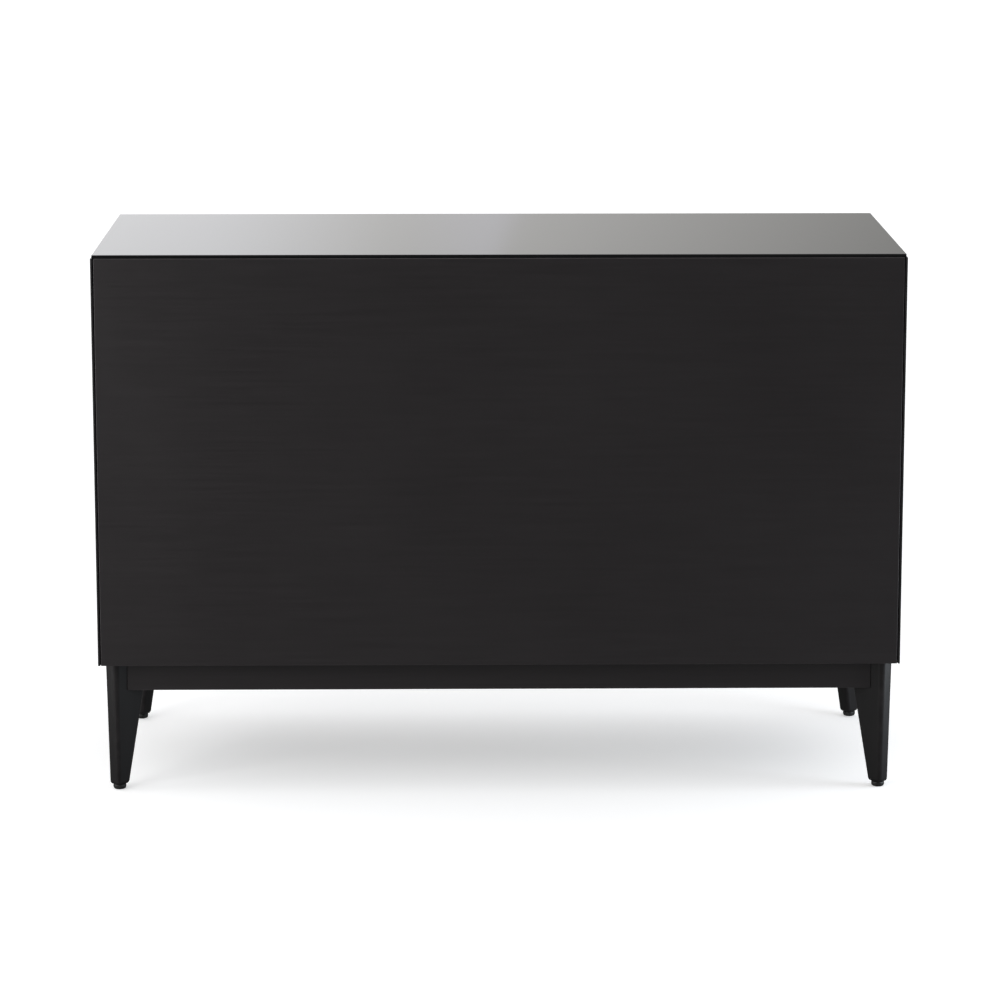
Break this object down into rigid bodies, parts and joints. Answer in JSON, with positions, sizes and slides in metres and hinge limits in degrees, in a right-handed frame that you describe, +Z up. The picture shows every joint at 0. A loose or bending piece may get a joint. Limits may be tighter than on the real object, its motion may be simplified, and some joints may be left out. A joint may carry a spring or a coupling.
{
  "type": "dresser with drawers",
  "caption": "Low wide black dresser with drawers on telescopic slides, a thin glossy top plate, and a recessed base on diagonal tapered legs.",
  "frame": {"origin": "on the floor at the centre of the footprint, knobs included", "axes": "+X to the right for someone facing the drawers, +Y from the drawer fronts to the back panel, +Z up"},
  "size_m": [1.2, 0.506, 0.818],
  "materials": {
    "black_lacquer": "satin black lacquer on board, wood grain barely showing",
    "gloss_plate": "black back-painted glass, satin gloss",
    "drawer_board": "clear-lacquered birch plywood",
    "black_metal": "black powder coat",
    "zinc_steel": "bright zinc plate",
    "beech": "raw beech",
    "foot_plastic": "black moulded plastic"
  },
  "bodies": {
    "cabinet": {"side_panel_left": "black_lacquer", "side_panel_right": "black_lacquer", "bottom_panel": "black_lacquer", "sub_top": "black_lacquer", "centre_divider": "black_lacquer", "back_panel": "black_lacquer", "top_plate": "gloss_plate", "cabinet_slides": "zinc_steel", "slide_and_bracket_screws": "zinc_steel", "dowels": "beech", "leg_front_left": "black_lacquer", "leg_front_right": "black_lacquer", "leg_back_left": "black_lacquer", "leg_back_right": "black_lacquer", "apron_front": "black_lacquer", "apron_back": "black_lacquer", "apron_left": "black_lacquer", "apron_right": "black_lacquer", "corner_brackets": "zinc_steel", "leg_bolts": "zinc_steel"},
    "top_left_drawer": {"top_left_front": "black_lacquer", "top_left_box": "drawer_board", "top_left_bottom": "drawer_board", "top_left_knobs": "black_metal", "top_left_drawer_slides": "zinc_steel"},
    "top_left_slide_middles": {"top_left_middle_slides": "zinc_steel"},
    "top_right_drawer": {"top_right_front": "black_lacquer", "top_right_box": "drawer_board", "top_right_bottom": "drawer_board", "top_right_knobs": "black_metal", "top_right_drawer_slides": "zinc_steel"},
    "top_right_slide_middles": {"top_right_middle_slides": "zinc_steel"},
    "middle_left_drawer": {"middle_left_front": "black_lacquer", "middle_left_box": "drawer_board", "middle_left_bottom": "drawer_board", "middle_left_knobs": "black_metal", "middle_left_drawer_slides": "zinc_steel"},
    "middle_left_slide_middles": {"middle_left_middle_slides": "zinc_steel"},
    "middle_right_drawer": {"middle_right_front": "black_lacquer", "middle_right_box": "drawer_board", "middle_right_bottom": "drawer_board", "middle_right_knobs": "black_metal", "middle_right_drawer_slides": "zinc_steel"},
    "middle_right_slide_middles": {"middle_right_middle_slides": "zinc_steel"},
    "low_left_drawer": {"low_left_front": "black_lacquer", "low_left_box": "drawer_board", "low_left_bottom": "drawer_board", "low_left_knobs": "black_metal", "low_left_drawer_slides": "zinc_steel"},
    "low_left_slide_middles": {"low_left_middle_slides": "zinc_steel"},
    "low_right_drawer": {"low_right_front": "black_lacquer", "low_right_box": "drawer_board", "low_right_bottom": "drawer_board", "low_right_knobs": "black_metal", "low_right_drawer_slides": "zinc_steel"},
    "low_right_slide_middles": {"low_right_middle_slides": "zinc_steel"},
    "foot_front_left": {"foot_front_left": "foot_plastic"},
    "foot_front_right": {"foot_front_right": "foot_plastic"},
    "foot_back_left": {"foot_back_left": "foot_plastic"},
    "foot_back_right": {"foot_back_right": "foot_plastic"}
  },
  "joints": [
    {"name": "top_left_drawer_slide", "type": "slide", "parent": "cabinet", "child": "top_left_drawer", "axis": [0, -1, 0], "range_m": [0, 0.38]},
    {"name": "top_left_middle_slide", "type": "slide", "parent": "cabinet", "child": "top_left_slide_middles", "axis": [0, -1, 0], "range_m": [0, 0.19]},
    {"name": "top_right_drawer_slide", "type": "slide", "parent": "cabinet", "child": "top_right_drawer", "axis": [0, -1, 0], "range_m": [0, 0.38]},
    {"name": "top_right_middle_slide", "type": "slide", "parent": "cabinet", "child": "top_right_slide_middles", "axis": [0, -1, 0], "range_m": [0, 0.19]},
    {"name": "middle_left_drawer_slide", "type": "slide", "parent": "cabinet", "child": "middle_left_drawer", "axis": [0, -1, 0], "range_m": [0, 0.38]},
    {"name": "middle_left_middle_slide", "type": "slide", "parent": "cabinet", "child": "middle_left_slide_middles", "axis": [0, -1, 0], "range_m": [0, 0.19]},
    {"name": "middle_right_drawer_slide", "type": "slide", "parent": "cabinet", "child": "middle_right_drawer", "axis": [0, -1, 0], "range_m": [0, 0.38]},
    {"name": "middle_right_middle_slide", "type": "slide", "parent": "cabinet", "child": "middle_right_slide_middles", "axis": [0, -1, 0], "range_m": [0, 0.19]},
    {"name": "low_left_drawer_slide", "type": "slide", "parent": "cabinet", "child": "low_left_drawer", "axis": [0, -1, 0], "range_m": [0, 0.38]},
    {"name": "low_left_middle_slide", "type": "slide", "parent": "cabinet", "child": "low_left_slide_middles", "axis": [0, -1, 0], "range_m": [0, 0.19]},
    {"name": "low_right_drawer_slide", "type": "slide", "parent": "cabinet", "child": "low_right_drawer", "axis": [0, -1, 0], "range_m": [0, 0.38]},
    {"name": "low_right_middle_slide", "type": "slide", "parent": "cabinet", "child": "low_right_slide_middles", "axis": [0, -1, 0], "range_m": [0, 0.19]},
    {"name": "foot_front_left_turn", "type": "hinge", "parent": "cabinet", "child": "foot_front_left", "pos_m": [-0.574, -0.192, 0], "axis": [0, 0, 1], "range_deg": [-720, 720]},
    {"name": "foot_front_right_turn", "type": "hinge", "parent": "cabinet", "child": "foot_front_right", "pos_m": [0.574, -0.192, 0], "axis": [0, 0, 1], "range_deg": [-720, 720]},
    {"name": "foot_back_left_turn", "type": "hinge", "parent": "cabinet", "child": "foot_back_left", "pos_m": [-0.574, 0.218, 0], "axis": [0, 0, 1], "range_deg": [-720, 720]},
    {"name": "foot_back_right_turn", "type": "hinge", "parent": "cabinet", "child": "foot_back_right", "pos_m": [0.574, 0.218, 0], "axis": [0, 0, 1], "range_deg": [-720, 720]}
  ],
  "couplings": [
    {"joint": "top_left_middle_slide", "follows": "top_left_drawer_slide", "ratio": 0.5},
    {"joint": "top_right_middle_slide", "follows": "top_right_drawer_slide", "ratio": 0.5},
    {"joint": "middle_left_middle_slide", "follows": "middle_left_drawer_slide", "ratio": 0.5},
    {"joint": "middle_right_middle_slide", "follows": "middle_right_drawer_slide", "ratio": 0.5},
    {"joint": "low_left_middle_slide", "follows": "low_left_drawer_slide", "ratio": 0.5},
    {"joint": "low_right_middle_slide", "follows": "low_right_drawer_slide", "ratio": 0.5}
  ]
}
